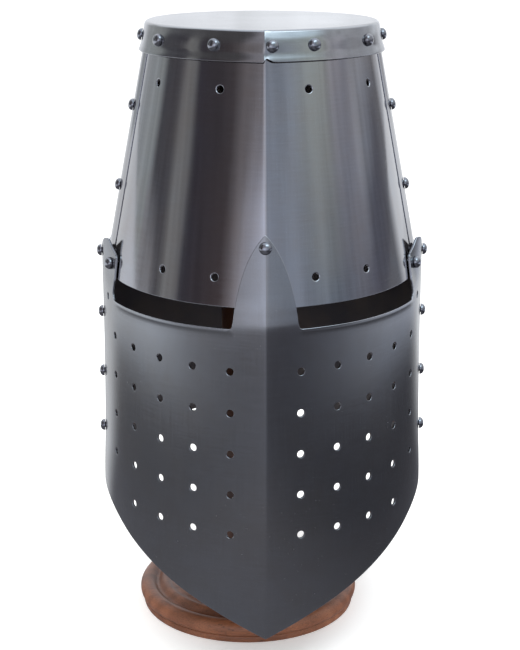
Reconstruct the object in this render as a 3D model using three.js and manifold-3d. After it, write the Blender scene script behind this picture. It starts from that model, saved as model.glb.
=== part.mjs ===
// Great helm on a turned wooden stand. Millimetres, +Z up, the face looks along -Y.
import * as THREE from 'three';
import { mergeVertices } from 'three/addons/utils/BufferGeometryUtils.js';
import Module from 'manifold-3d';

// Sheet steel and its fits
const plate = 1.5;            // thickness of every plate
const lap = 0.3;              // clearance between lapped plates and under rivet heads
const layer = plate + lap;    // one plate further out

// Heights. The crown rests on the stand's head.
const standHeight = 414.2;    // floor to the top of the stand's head
const bandHeight = 18.9;      // turned-down edge of the top plate
const skullHeight = 164.0;    // crown to the lower edge of the front skull plate
const sightHeight = 12.7;     // eye slot
const sideHeight = 317.0;     // crown to the lower edge at the sides
const napeHeight = 308.0;     // crown to the lower edge at the back
const helmHeight = 381.5;     // crown to the point of the face plate

// Half sizes of the front skull plate's outer face, at the crown and at the brow
const topHalfWidth = 73.5;
const topFront = 80.2;
const topBack = 80.9;
const browHalfWidth = 105.2;
const browFront = 122.8;
const browBack = 115.0;

// Half sizes of the face and nape plates at the side's lower edge
const hemHalfWidth = 112.0;
const hemFront = 131.8;
const hemBack = 126.0;
const earStand = 0.7;         // how far the ears stand off the nape plate's lap

// Crease down the front
const creaseDepth = 5.0;
const creaseSpreadTurn = 25;      // degrees to each side

// Plate edges, in degrees from the front
const skullSeamTurn = 75;         // front edges of the back skull plate
const skullLapTurn = 97.5;        // rear edges of the front skull plate
const napeSeamTurn = 75;          // front edges of the nape plate
const faceLapTurn = 90;           // rear edges of the face plate
const bandRiseTurns = [44, 66];    // where the band steps out over the back skull plate
const skullBackRise = 6.5;    // back skull plate's lower edge above the brow
const napeLap = 13.5;         // nape plate's lap over the back skull plate
const napeDip = 11.5;         // drop of the nape plate's upper edge behind the ears
const napeDipTurns = [86, 106];

// Face plate outline
const sightEndTurn = 64.5;        // outer end of each eye slot, degrees
const sightCorner = 4.0;      // radius of the slot's outer lower corners
const nasalHalf = 20.7;       // half the nasal's width at the slot's lower edge
const nasalHeight = 57.3;     // nasal tip above the slot's lower edge
const nasalBulge = { acrossShare: 0.78, upShare: 0.72 };  // arch control as shares of the two above
const nasalFillet = 2.2;      // fillet where the nasal meets the slot
const earLeanTurn = 2.9;          // degrees that an ear's front edge leans back to its corner
const earCorner = 27.1;       // ear's front corner above the slot's lower edge
const earEdge = [             // ear's top edge behind that corner, above the slot's lower edge
  { turn: 70.5, up: 31.7 }, { turn: 73.1, up: 37.1 }, { turn: 74.6, up: 36.6 },
  { turn: 82, up: 29.8 }, { turn: 90, up: 22.6 },
];
const earFlareTurns = [67.5, 75]; // where an ear leaves the skull, behind its front edge
const earGap = 0.7;           // between skull and ear along that front edge
const nasalClearTurns = [25, 50]; // the face plate is drawn in to the skull only beyond these
const hemTurn = [58.5, 84];   // degrees where the pointed lower edge turns level

// Round holes
const breath = {
  radius: 2.4, rows: 5, columns: 5, firstTurn: 11.6, stepTurn: 12.9, dropShare: 0.193, pitchShare: 0.191, rise: 3.4,
  sides: 6,
};                            // shares of the height from the slot down to the hem
const sightBreath = { turn: 70, drop: -0.3 };     // one more hole behind each eye slot
const skullHole = { radius: 2.3, drop: 35.7, low: 17.0, sides: 6 };
const skullHoleTurns = [19.8, 56, 90, 124, 160.2];
const browHoleTurns = [17.8, 39];

// Rivets
const rivet = { head: 4.0, rise: 3.3, shank: 2.0, tail: 3.1, clench: 1.5, sides: 6 };
const rivetPlay = 0.3;        // shank to hole
const bandRivetTurns = [3.5, 23.5, 57.5, 88, 122.5, 156.5, 180, -156.5, -122.5, -88, -57.5, -23.5];
const skullRivet = { turn: 83, upperShare: 0.332, lowerShare: 0.655 };  // shares of the skull plate's height
const nasalRivetInset = 8.0;  // below the nasal's tip
const earRivet = { turn: 70.8, up: 8.6 };         // above the brow
const earSideRivetUp = 12.0;  // above the brow
const sideRivetTurn = 82.5;
const sideRivetShares = [0.127, 0.43, 0.715];     // of the way from the slot down to the hem
const napeRivetTurns = [110, 145, 180, 215, 250];
const napeRivetUp = 13.0;     // above the brow

// Turned stand
const standShift = -10;       // stand axis beside the helm's middle
const baseRadius = 78.6;
const baseFoot = 76.3;        // radius of the face it stands on
const baseHeight = 27;
const postRadius = 18;
const headRadius = 54;
const headHeight = 18;
const woodGap = 0.3;          // glue line between stand pieces

// Fineness
const turnStep = 7.5;         // degrees between columns of a plate
const reach = 14;             // how far cutters run to each side of a plate

const crown = standHeight + lap + plate;
const brow = crown - skullHeight;
const sightLow = brow - sightHeight;
const hem = crown - sideHeight;
const tip = crown - helmHeight;
const skullTop = crown - layer;

// Growth from the brow to the hem: share of the way down, then of each half size's growth
const bodyProfile = [
  { down: 0.00, side: 0.00, front: 0.00, back: 0.00 },
  { down: 0.083, side: 0.00, front: 0.29, back: 0.25 },
  { down: 0.50, side: 0.17, front: 0.61, back: 0.75 },
  { down: 1.00, side: 1.00, front: 1.00, back: 1.00 },
  { down: 1.44, side: 1.00, front: 0.95, back: 1.00 },
];

const wasm = await Module();
wasm.setup();

const { degToRad, lerp, clamp } = THREE.MathUtils;

// Half sizes of the cone that all skull plates follow
function skullSection(z) {
  const share = (crown - z) / skullHeight;
  return {
    side: lerp(topHalfWidth, browHalfWidth, share),
    front: lerp(topFront, browFront, share),
    back: lerp(topBack, browBack, share),
  };
}

function profileShare(down, key) {
  const next = Math.max(1, bodyProfile.findIndex((row) => row.down >= down));
  const [a, b] = [bodyProfile[next - 1], bodyProfile[next]];
  return lerp(a[key], b[key], (down - a.down) / (b.down - a.down));
}

// Half sizes of the face plate's outer face; the nape plate lies one layer inside it
function bodySection(z) {
  const start = {
    side: browHalfWidth + 2 * layer + earStand,
    front: browFront + layer,
    back: browBack + 3 * layer,
  };
  if (z >= brow) {
    return { side: start.side, front: skullSection(z).front + layer, back: start.back };
  }
  const down = Math.min((brow - z) / (brow - hem), bodyProfile.at(-1).down);
  return {
    side: lerp(start.side, hemHalfWidth, profileShare(down, 'side')),
    front: lerp(start.front, hemFront, profileShare(down, 'front')),
    back: lerp(start.back, hemBack + layer, profileShare(down, 'back')),
  };
}

// Point on a section, turned by degrees from the front and moved out by an offset
function sectionPoint(section, turn, z, offset = 0) {
  const a = degToRad(turn);
  const depth = Math.cos(a) > 0 ? section.front : section.back;
  const normal = new THREE.Vector2(Math.sin(a) / section.side, -Math.cos(a) / depth).normalize();
  const fold = Math.max(0, 1 - Math.abs(signedTurn(turn)) / creaseSpreadTurn);
  return new THREE.Vector3(
    section.side * Math.sin(a) + offset * normal.x,
    -depth * Math.cos(a) + offset * normal.y - creaseDepth * fold * fold,
    z,
  );
}

function signedTurn(turn) {
  return THREE.MathUtils.euclideanModulo(turn + 180, 360) - 180;
}

// Outer faces of the plates, as functions of turn and height
const skullFrontFace = (turn, z) => sectionPoint(skullSection(z), turn, z);
const skullBackFace = (turn, z) => sectionPoint(skullSection(z), turn, z, layer);

// Above the eye slots the ears' front edges are drawn in to the skull
function faceFace(turn, z) {
  const { smoothstep } = THREE.MathUtils;
  const aside = Math.abs(signedTurn(turn));
  const [from, to] = earFlareTurns;
  const up = clamp((z - sightLow) / (brow - sightLow), 0, 1);
  const share = up * smoothstep(aside, ...nasalClearTurns) * (1 - clamp((aside - from) / (to - from), 0, 1));
  const close = sectionPoint(skullSection(z), turn, z, plate + earGap);
  return sectionPoint(bodySection(z), turn, z).lerp(close, share);
}

function bandFace(turn, z) {
  const [from, to] = bandRiseTurns;
  const share = THREE.MathUtils.smoothstep(Math.abs(signedTurn(turn)), from, to);
  return sectionPoint(skullSection(z), turn, z, layer * (1 + share));
}

function napeFace(turn, z) {
  const overSkull = sectionPoint(skullSection(z), turn, z, 2 * layer);
  const underFace = sectionPoint(bodySection(z), turn, z, -layer);
  const flat = (p) => Math.hypot(p.x, p.y);
  return flat(overSkull) < flat(underFace) ? overSkull : underFace;
}

// Inner face of a plate: its outer face moved in by the sheet's thickness
function innerFace(face) {
  return (turn, z) => {
    const p = face(turn, z);
    const tangent = face(turn + 0.5, z).sub(face(turn - 0.5, z));
    if (Math.abs(signedTurn(turn)) < 0.01) tangent.set(1, 0, 0);
    const inward = new THREE.Vector3(-tangent.y, tangent.x, 0).normalize();
    return p.addScaledVector(inward, plate);
  };
}

// Solids and booleans
function toSolid(geometry) {
  const bare = geometry.clone();
  bare.deleteAttribute('normal');
  bare.deleteAttribute('uv');
  const merged = mergeVertices(bare, 1e-4);
  return new wasm.Manifold(new wasm.Mesh({
    numProp: 3,
    vertProperties: new Float32Array(merged.attributes.position.array),
    triVerts: new Uint32Array(merged.index.array),
  }));
}

function toGeometry(solid) {
  const mesh = solid.getMesh();
  const geometry = new THREE.BufferGeometry();
  geometry.setAttribute('position', new THREE.BufferAttribute(mesh.vertProperties, 3));
  geometry.setIndex(new THREE.BufferAttribute(mesh.triVerts, 1));
  return geometry;
}

function quads(points, index, close) {
  const at = (i, j) => i * points[0].length + j;
  const rows = points.length - (close ? 0 : 1);
  for (let i = 0; i < rows; i += 1) {
    const k = (i + 1) % points.length;
    for (let j = 0; j < points[0].length - 1; j += 1) {
      index.push(at(i, j), at(k, j), at(k, j + 1), at(i, j), at(k, j + 1), at(i, j + 1));
    }
  }
}

// Ring of points per column, swept from the first column to the last and closed by end caps
function sweptSolid(rings, close = false) {
  const looped = rings.map((ring) => [...ring, ring[0]]);
  const index = [];
  quads(looped, index, close);
  const width = looped[0].length;
  if (!close) {
    const half = rings[0].length / 2;
    for (let j = 0; j < half - 1; j += 1) {
      const [a, b, c, d] = [j, j + 1, 2 * half - 2 - j, 2 * half - 1 - j];
      const last = (looped.length - 1) * width;
      index.push(a, b, c, a, c, d);
      index.push(last + a, last + c, last + b, last + a, last + d, last + c);
    }
  }
  const geometry = new THREE.BufferGeometry();
  const flat = looped.flat().flatMap((p) => [p.x, p.y, p.z]);
  geometry.setAttribute('position', new THREE.Float32BufferAttribute(flat, 3));
  geometry.setIndex(index);
  return toSolid(geometry);
}

// Columns between two turns: both ends and every whole step between them
function turnsBetween(from, to) {
  const turns = [from];
  const first = Math.floor(from / turnStep) + 1;
  for (let k = first; k * turnStep < to - 0.5; k += 1) turns.push(k * turnStep);
  turns.push(to);
  return turns;
}

// Blank of a plate, between two turns, with more columns if named, over a list of heights from low to high
function sheetBlank(face, from, to, heights, moreTurns = []) {
  const inner = innerFace(face);
  const rings = [...turnsBetween(from, to), ...moreTurns].sort((a, b) => a - b).map((turn) => [
    ...heights.map((z) => face(turn, z)),
    ...heights.toReversed().map((z) => inner(turn, z)),
  ]);
  return sweptSolid(rings);
}

// Cutter that removes what lies between a lower and an upper line of { turn, z } points
function wallCutter(face, low, high) {
  const side = (p, offset) => {
    const spot = face(p.turn, p.z);
    const out = new THREE.Vector3(spot.x, spot.y, 0).normalize();
    return spot.addScaledVector(out, offset);
  };
  const rings = low.map((p, i) => [side(p, reach), side(high[i], reach), side(high[i], -reach), side(p, -reach)]);
  return sweptSolid(rings);
}

// Position and outward normal on a plate's outer face
function siteOn(face, turn, z) {
  const across = face(turn + 0.5, z).sub(face(turn - 0.5, z));
  const up = face(turn, z + 1).sub(face(turn, z - 1));
  return { origin: face(turn, z), normal: across.cross(up).normalize() };
}

function drillAt(site, radius, sides, depth = reach) {
  const rod = new THREE.CylinderGeometry(radius, radius, depth * 2, sides);
  rod.applyQuaternion(new THREE.Quaternion().setFromUnitVectors(new THREE.Vector3(0, 1, 0), site.normal));
  rod.translate(site.origin.x, site.origin.y, site.origin.z);
  return toSolid(rod);
}

// Height of the face plate's pointed lower edge
function hemHeight(turn) {
  const [start, level] = hemTurn;
  const slope = (hem - tip) / ((start + level) / 2);
  const past = clamp(Math.abs(turn) - start, 0, level - start);
  const straight = Math.min(Math.abs(turn), start);
  return tip + slope * (straight + past - (past * past) / (2 * (level - start)));
}

// Face plate outline between the eye slots, from the left slot's end to the nasal's tip
function slotLine() {
  const halfWidth = bodySection(sightLow).side;
  const turnAt = (x) => THREE.MathUtils.radToDeg(Math.asin(x / halfWidth));
  const cornerTurn = turnAt(sightCorner) * (halfWidth / bodySection(sightLow).front);
  const points = [];
  for (let k = 0; k <= 3; k += 1) {
    const a = (k / 3) * (Math.PI / 2);
    points.push({
      turn: -sightEndTurn + cornerTurn * (1 - Math.cos(a)),
      z: sightLow + sightCorner * (1 - Math.sin(a)),
    });
  }
  const nasalTurn = turnAt(nasalHalf + nasalFillet);
  turnsBetween(-sightEndTurn + cornerTurn, -nasalTurn).slice(1).forEach((turn) => points.push({ turn, z: sightLow }));
  const arch = new THREE.QuadraticBezierCurve(
    new THREE.Vector2(nasalHalf, 0),
    new THREE.Vector2(nasalHalf * nasalBulge.acrossShare, nasalHeight * nasalBulge.upShare),
    new THREE.Vector2(0, nasalHeight),
  );
  for (let k = 0; k <= 7; k += 1) {
    const p = arch.getPoint(k / 7);
    if (k === 0) p.y += nasalFillet;
    points.push({ turn: -turnAt(p.x), z: sightLow + p.y });
  }
  return points;
}

const mirrorLine = (points) => points.toReversed().map((p) => ({ turn: -p.turn, z: p.z }));

function slotCutter() {
  const left = slotLine();
  const low = [...left, ...mirrorLine(left.slice(0, -1))];
  const top = sightLow + nasalHeight + 2 * lap;
  const lean = (p, i) => {
    const end = i === 0 || i === low.length - 1;
    const shift = end ? earLeanTurn * ((top - sightLow) / earCorner) : 0;
    return { turn: p.turn + Math.sign(p.turn) * shift, z: top };
  };
  return wallCutter(faceFace, low, low.map(lean));
}

// Removes what stands above one ear's top edge
function earCutter(sign) {
  const corner = { turn: sightEndTurn + earLeanTurn, up: earCorner };
  const before = { turn: corner.turn - turnStep, up: earCorner - reach / 2 };
  const beyond = { turn: faceLapTurn + turnStep, up: earEdge.at(-1).up };
  const low = [before, corner, ...earEdge, beyond].map(({ turn, up }) => ({ turn: sign * turn, z: sightLow + up }));
  const top = sightLow + nasalHeight + 2 * lap;
  const high = low.map((p) => ({ turn: p.turn, z: top }));
  if (sign < 0) {
    low.reverse();
    high.reverse();
  }
  return wallCutter(faceFace, low, high);
}

function hemCutter() {
  const edge = turnsBetween(-faceLapTurn - turnStep, faceLapTurn + turnStep);
  const low = edge.map((turn) => ({ turn, z: tip - reach }));
  const high = edge.map((turn) => ({ turn, z: hemHeight(turn) }));
  return wallCutter(faceFace, low, high);
}

function napeHemHeight(turn) {
  const share = THREE.MathUtils.smoothstep(180 - Math.abs(signedTurn(turn)), 0, 180 - faceLapTurn);
  return lerp(crown - napeHeight, hem, share);
}

function napeHemCutter() {
  const edge = turnsBetween(napeSeamTurn - turnStep, 360 - napeSeamTurn + turnStep);
  const low = edge.map((turn) => ({ turn, z: hem - reach }));
  const high = edge.map((turn) => ({ turn, z: napeHemHeight(turn) }));
  return wallCutter(napeFace, low, high);
}

function napeTopCutter() {
  const top = brow + skullBackRise + napeLap;
  const edge = turnsBetween(napeSeamTurn - turnStep, 360 - napeSeamTurn + turnStep);
  const low = edge.map((turn) => {
    const share = THREE.MathUtils.smoothstep(Math.abs(signedTurn(turn)), ...napeDipTurns);
    return { turn, z: lerp(top - napeDip, top + lap, share) };
  });
  const high = edge.map((turn) => ({ turn, z: top + reach }));
  return wallCutter(napeFace, low, high);
}

// Breathing holes of both sides
function breathSites() {
  const sites = [];
  for (const sign of [-1, 1]) {
    for (let row = 0; row < breath.rows; row += 1) {
      const columns = row === breath.rows - 1 ? breath.columns - 1 : breath.columns;
      for (let column = 0; column < columns; column += 1) {
        const share = breath.dropShare + row * breath.pitchShare;
        const z = lerp(sightLow, hem, share) + breath.rise * (column / (breath.columns - 1));
        sites.push(siteOn(faceFace, sign * (breath.firstTurn + column * breath.stepTurn), z));
      }
    }
    sites.push(siteOn(faceFace, sign * sightBreath.turn, sightLow + sightBreath.drop));
  }
  return sites;
}

function skullHoleSites() {
  const sites = [];
  for (const sign of [-1, 1]) {
    skullHoleTurns.forEach((turn) => {
      const face = turn > skullSeamTurn ? skullBackFace : skullFrontFace;
      sites.push(siteOn(face, sign * turn, crown - skullHole.drop));
    });
    browHoleTurns.forEach((turn) => sites.push(siteOn(skullFrontFace, sign * turn, brow + skullHole.low)));
  }
  return sites;
}

// Rivets: each knows the face its head sits on, its place and the innermost face it clamps
function rivetList() {
  const list = [];
  const add = (name, face, turn, z, last) => list.push({ name, face, turn, z, last: innerFace(last) });
  bandRivetTurns.forEach((turn, i) => {
    const last = Math.abs(turn) < skullLapTurn ? skullFrontFace : skullBackFace;
    add(`band_rivet_${i + 1}`, bandFace, turn, crown - bandHeight / 2, last);
  });
  add('nasal_rivet', faceFace, 0, sightLow + nasalHeight - nasalRivetInset, skullFrontFace);
  for (const [side, sign] of [['left', -1], ['right', 1]]) {
    const turn = sign * skullRivet.turn;
    const seamHeight = (share) => crown - share * skullHeight;
    add(`skull_rivet_${side}_upper`, skullBackFace, turn, seamHeight(skullRivet.upperShare), skullFrontFace);
    add(`skull_rivet_${side}_lower`, skullBackFace, turn, seamHeight(skullRivet.lowerShare), skullFrontFace);
    add(`ear_rivet_${side}`, faceFace, sign * earRivet.turn, brow + earRivet.up, skullFrontFace);
    add(`side_rivet_${side}_1`, faceFace, sign * sideRivetTurn, brow + earSideRivetUp, skullFrontFace);
    sideRivetShares.forEach((share, i) => {
      add(`side_rivet_${side}_${i + 2}`, faceFace, sign * sideRivetTurn, lerp(sightLow, hem, share), napeFace);
    });
  }
  napeRivetTurns.forEach((turn, i) => add(`nape_rivet_${i + 1}`, napeFace, turn, brow + napeRivetUp, skullBackFace));
  return list;
}

// How far inside a face a point lies, measured level from the helm's axis
function depthInside(face, p) {
  let turn = THREE.MathUtils.radToDeg(Math.atan2(p.x, -p.y));
  for (let k = 0; k < 6; k += 1) {
    const q = face(turn, p.z);
    turn += THREE.MathUtils.radToDeg(Math.atan2(p.x, -p.y) - Math.atan2(q.x, -q.y));
  }
  const q = face(turn, p.z);
  return Math.hypot(q.x, q.y) - Math.hypot(p.x, p.y);
}

// Distance along a rivet from its seat to where the whole tail is clear of the last plate
function gripLength(site, last) {
  const side = new THREE.Vector3(0, 0, 1).cross(site.normal).normalize();
  const up = site.normal.clone().cross(side);
  let grip = 0;
  for (let k = 0; k < 8; k += 1) {
    const a = (k / 8) * 2 * Math.PI;
    const rim = site.origin.clone();
    rim.addScaledVector(side, rivet.tail * Math.cos(a)).addScaledVector(up, rivet.tail * Math.sin(a));
    for (let d = grip; d < 2 * reach; d += 0.05) {
      grip = d;
      if (depthInside(last, rim.clone().addScaledVector(site.normal, -d)) > 0) break;
    }
  }
  return grip;
}

function rivetGeometry(grip) {
  const { head, rise, shank, tail, clench, sides } = rivet;
  const under = -grip - lap;
  const profile = [
    [0, under - clench], [tail, under], [shank, under],
    [shank, lap], [head, lap], [head * 0.74, lap + rise * 0.68], [0, lap + rise],
  ];
  return new THREE.LatheGeometry(profile.map(([r, h]) => new THREE.Vector2(r, h)), sides);
}

// Materials
const blackened = new THREE.MeshStandardMaterial({ color: 0x4b4d52, roughness: 0.3, metalness: 0.9 });
const blackenedSkull = new THREE.MeshStandardMaterial({ color: 0x54565c, roughness: 0.25, metalness: 0.9 });
const brushedTop = new THREE.MeshStandardMaterial({ color: 0x6a6d72, roughness: 0.35, metalness: 0.9 });
const rivetSteel = new THREE.MeshStandardMaterial({ color: 0x2d2f32, roughness: 0.35, metalness: 0.9 });
const wood = new THREE.MeshStandardMaterial({ color: 0x6b4030, roughness: 0.45, metalness: 0.0 });

// Plates
function skullFront() {
  return sheetBlank(skullFrontFace, -skullLapTurn, skullLapTurn, [brow, skullTop]);
}

function skullBack() {
  return sheetBlank(skullBackFace, skullSeamTurn, 360 - skullSeamTurn, [brow + skullBackRise, skullTop]);
}

const profileHeights = bodyProfile.map((row) => lerp(brow, hem, row.down)).toReversed();

function facePlate() {
  const top = sightLow + nasalHeight + lap;
  const earHeights = [brow + earRivet.up, brow + 2 * earRivet.up];
  const heights = [tip - lap, ...profileHeights.slice(1), ...earHeights, top];
  const midFlare = (earFlareTurns[0] + earFlareTurns[1]) / 2;
  return sheetBlank(faceFace, -faceLapTurn, faceLapTurn, heights, [-midFlare, midFlare])
    .subtract(slotCutter()).subtract(earCutter(-1)).subtract(earCutter(1)).subtract(hemCutter());
}

function napePlate() {
  const heights = [hem - lap, ...profileHeights.slice(2), brow + skullBackRise, brow + skullBackRise + napeLap];
  return sheetBlank(napeFace, napeSeamTurn, 360 - napeSeamTurn, heights)
    .subtract(napeHemCutter()).subtract(napeTopCutter());
}

// Flat crown with its edge turned down over the skull plates
function topPlate() {
  const bend = plate * 1.3;
  const turns = Array.from({ length: 360 / turnStep }, (_, i) => i * turnStep);
  const ring = (z, inset, turn) => {
    const p = bandFace(turn, z);
    const inner = innerFace(bandFace)(turn, z);
    return p.lerp(inner, inset / plate);
  };
  const low = crown - bandHeight;
  const rings = turns.map((turn) => [
    ring(low, 0, turn), ring(crown - bend, 0, turn), ring(crown, bend, turn), new THREE.Vector3(0, 0, crown),
    new THREE.Vector3(0, 0, crown - plate), ring(crown - plate, plate, turn), ring(low, plate, turn),
  ]);
  return sweptSolid(rings, true);
}

// Stand
function lathe(profile, sides) {
  return new THREE.LatheGeometry(profile.map(([r, z]) => new THREE.Vector2(r, z)), sides).rotateX(Math.PI / 2);
}

function standBase() {
  const h = baseHeight;
  const r = baseRadius;
  return lathe([
    [0, 0], [baseFoot, 0], [r * 0.98, h * 0.2], [r, h * 0.35], [r * 0.925, h * 0.57], [r * 0.85, h * 0.45],
    [r * 0.76, h * 0.6], [r * 0.7, h * 0.55], [r * 0.45, h * 0.85], [postRadius * 1.4, h], [0, h],
  ], 28);
}

function standPost() {
  const low = baseHeight + woodGap;
  const high = standHeight - headHeight - woodGap;
  const collar = postRadius * 1.25;
  const step = postRadius * 0.25;
  return lathe([
    [0, low], [collar, low], [collar, low + 2 * step], [postRadius, low + 3 * step], [postRadius, high - 2 * step],
    [collar, high - step], [collar, high], [0, high],
  ], 12);
}

function standHead() {
  const low = standHeight - headHeight;
  return lathe([
    [0, low], [headRadius * 0.9, low], [headRadius, low + headHeight * 0.3],
    [headRadius, standHeight - headHeight * 0.2], [headRadius * 0.95, standHeight], [0, standHeight],
  ], 24);
}

// Assembly
const helm = new THREE.Group();
const stand = new THREE.Group();
stand.position.x = standShift;

function addMesh(group, name, geometry, material) {
  const mesh = new THREE.Mesh(geometry, material);
  mesh.name = name;
  group.add(mesh);
  return mesh;
}

const plates = {
  top_plate: { solid: topPlate(), material: brushedTop },
  skull_front: { solid: skullFront(), material: blackenedSkull },
  skull_back: { solid: skullBack(), material: blackenedSkull },
  face_plate: { solid: facePlate(), material: blackened },
  nape_plate: { solid: napePlate(), material: blackened },
};

function drillPlates(names, site, radius, sides) {
  const drill = drillAt(site, radius, sides);
  names.forEach((name) => {
    plates[name].solid = plates[name].solid.subtract(drill);
  });
}

breathSites().forEach((site) => drillPlates(['face_plate', 'nape_plate'], site, breath.radius, breath.sides));
skullHoleSites().forEach((site) => {
  drillPlates(['skull_front', 'skull_back'], site, skullHole.radius, skullHole.sides);
});

rivetList().forEach(({ name, face, turn, z, last }) => {
  const site = siteOn(face, turn, z);
  drillPlates(Object.keys(plates), site, rivet.shank + rivetPlay, rivet.sides);
  const mesh = addMesh(helm, name, rivetGeometry(gripLength(site, last)), rivetSteel);
  mesh.position.copy(site.origin);
  mesh.quaternion.setFromUnitVectors(new THREE.Vector3(0, 1, 0), site.normal);
});

Object.entries(plates).forEach(([name, { solid, material }]) => addMesh(helm, name, toGeometry(solid), material));

addMesh(stand, 'stand_base', standBase(), wood);
addMesh(stand, 'stand_post', standPost(), wood);
addMesh(stand, 'stand_head', standHead(), wood);

// The origin is under the middle of the whole object
const group = new THREE.Group();
group.add(helm, stand);
const napeReach = bodySection(crown - napeHeight).back - layer;
group.position.y = (hemFront + creaseDepth - napeReach) / 2;

export default group;
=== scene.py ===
import math
import bpy
import numpy as np
from mathutils import Matrix, Vector
from mathutils.geometry import delaunay_2d_cdt


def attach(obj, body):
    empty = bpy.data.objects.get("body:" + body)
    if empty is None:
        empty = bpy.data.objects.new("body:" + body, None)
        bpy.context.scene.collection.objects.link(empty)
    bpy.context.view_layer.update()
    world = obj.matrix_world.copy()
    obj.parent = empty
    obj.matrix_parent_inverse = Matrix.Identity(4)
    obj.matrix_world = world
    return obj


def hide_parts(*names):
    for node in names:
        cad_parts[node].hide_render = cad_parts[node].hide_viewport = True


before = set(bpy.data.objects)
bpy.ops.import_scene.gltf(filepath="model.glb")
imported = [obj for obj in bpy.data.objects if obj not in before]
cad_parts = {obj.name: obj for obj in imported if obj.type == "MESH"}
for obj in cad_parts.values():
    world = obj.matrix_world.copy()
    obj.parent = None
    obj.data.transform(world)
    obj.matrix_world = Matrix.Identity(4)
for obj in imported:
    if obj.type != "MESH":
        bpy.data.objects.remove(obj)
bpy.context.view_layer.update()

# Named sizes of the CAD source, millimetres and degrees
PLATE, LAP = 1.5, 0.3
LAYER = PLATE + LAP
CROWN, BROW, SIGHT_LOW, HEM, TIP = 416.0, 252.0, 239.3, 99.0, 34.5
SKULL_TOP, BAND_LOW = 414.2, 397.1
SKULL_HEIGHT, BAND_HEIGHT = CROWN - BROW, 18.9
FRONT_SHIFT = 5.51
CREASE_DEPTH, CREASE_SPREAD, CREASE_SOFT = 5.0, 25.0, 0.55
STAND_X = -10.0
SIGHT_END_TURN, SIGHT_CORNER = 64.5, 4.0
NASAL_HALF, NASAL_HEIGHT = 20.7, 57.3
NASAL_BULGE_ACROSS, NASAL_BULGE_UP = 0.78, 0.72
EAR_LEAN, EAR_CORNER, EAR_BACK = 2.9, 27.1, 22.6
HEM_TURNS = 58.5, 84.0
BREATH_RADIUS, LACE_RADIUS, LACE_DROP, LACE_LOW = 2.4, 2.3, 35.7, 17

# Level sections: half width, depth in front and depth behind
CROWN_SECTION, SKULL_GAIN = (73.5, 80.2, 80.9), (31.7, 42.6, 34.1)
BODY_SECTION, BODY_GAIN = (109.5, 124.6, 120.4), (2.5, 7.2, 7.4)

# Millimetres along a sheet for one degree of turn, and the radius in metres that the sheet map unrolls at
ACROSS, SHEET_RADIUS = 1.9, 0.11
FLAT_SCALE = np.array([ACROSS, 1.0])
# Columns of points beside the crease, and the spacing of all others
CREASE_TURNS = [-2.6, -1.7, -1.1, -0.7, -0.45, -0.22, 0, 0.22, 0.45, 0.7, 1.1, 1.7, 2.6]
TURN_STEP, RISE_STEP = 2.5, 3.0


def smoothstep(x, a, b):
    t = np.clip((x - a) / (b - a), 0, 1)
    return t * t * (3 - 2 * t)


def smooth_curve(xs, ys):
    """Cubic curve through points, with no overshoot between them."""
    xs, ys = np.array(xs, float), np.array(ys, float)
    h, d = np.diff(xs), np.diff(ys) / np.diff(xs)
    m = np.empty(len(xs))
    m[0], m[-1] = d[0], d[-1]
    for i in range(1, len(xs) - 1):
        same = d[i - 1] * d[i] > 0
        m[i] = (h[i - 1] + h[i]) / (h[i - 1] / d[i - 1] + h[i] / d[i]) if same else 0

    def at(x):
        x = np.clip(np.asarray(x, float), xs[0], xs[-1])
        i = np.clip(np.searchsorted(xs, x) - 1, 0, len(xs) - 2)
        t = (x - xs[i]) / h[i]
        a, b = 2 * t ** 3 - 3 * t ** 2 + 1, t ** 3 - 2 * t ** 2 + t
        return a * ys[i] + b * h[i] * m[i] + (1 - a) * ys[i + 1] + (t ** 3 - t ** 2) * h[i] * m[i + 1]
    return at


# How the body widens: shares of its gain against shares of the way from the brow down to the side hem
DOWN = [0, 0.083, 0.27, 0.5, 0.75, 1, 1.44]
SIDE_SHARE = smooth_curve(DOWN, [0, 0.001, 0.03, 0.17, 0.48, 1, 1.0])
FRONT_SHARE = smooth_curve(DOWN, [0, 0.29, 0.43, 0.61, 0.82, 1, 0.95])
BACK_SHARE = smooth_curve(DOWN, [0, 0.25, 0.50, 0.75, 0.90, 0.965, 0.965])


def skull_section(z):
    share = (CROWN - z) / SKULL_HEIGHT
    return tuple(top + gain * share for top, gain in zip(CROWN_SECTION, SKULL_GAIN))


def body_section(z):
    down = np.clip((BROW - z) / (BROW - HEM), 0, DOWN[-1])
    side, front, back = BODY_SECTION
    front = np.where(z >= BROW, skull_section(z)[1] + LAYER, front)
    side_gain, front_gain, back_gain = BODY_GAIN
    return (side + side_gain * SIDE_SHARE(down), front + front_gain * FRONT_SHARE(down),
            back + back_gain * BACK_SHARE(down))


def signed(turn):
    return np.mod(turn + 180, 360) - 180


def section_point(section, turn, z, off):
    """Point at a turn from the front and a height, off a level section by some millimetres."""
    side, front, back = section
    a = np.radians(turn)
    s, c = np.sin(a), np.cos(a)
    depth = np.where(c > 0, front, back)
    nx, ny = s / side, -c / depth
    n = np.hypot(nx, ny)
    fold = np.clip(1 - np.hypot(signed(turn), CREASE_SOFT) / CREASE_SPREAD, 0, None)
    x = side * s + off * nx / n
    y = -depth * c + off * ny / n - CREASE_DEPTH * fold * fold
    return np.stack([x, y, np.broadcast_to(z, x.shape)], -1)


def skull_front_face(turn, z):
    return section_point(skull_section(z), turn, z, 0)


def seam_share(turn):
    """Rises from 0 at the back skull plate's front edges to 1 where the plate has its full thickness."""
    return smoothstep(np.abs(signed(turn)), 74, 81)


def skull_back_face(turn, z):
    edge_lift = 0.4
    return section_point(skull_section(z), turn, z, edge_lift + (LAYER - edge_lift) * seam_share(turn))


def skull_back_thickness(turn):
    edge_thickness = 0.38
    return edge_thickness + (PLATE - edge_thickness) * seam_share(turn)


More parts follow.
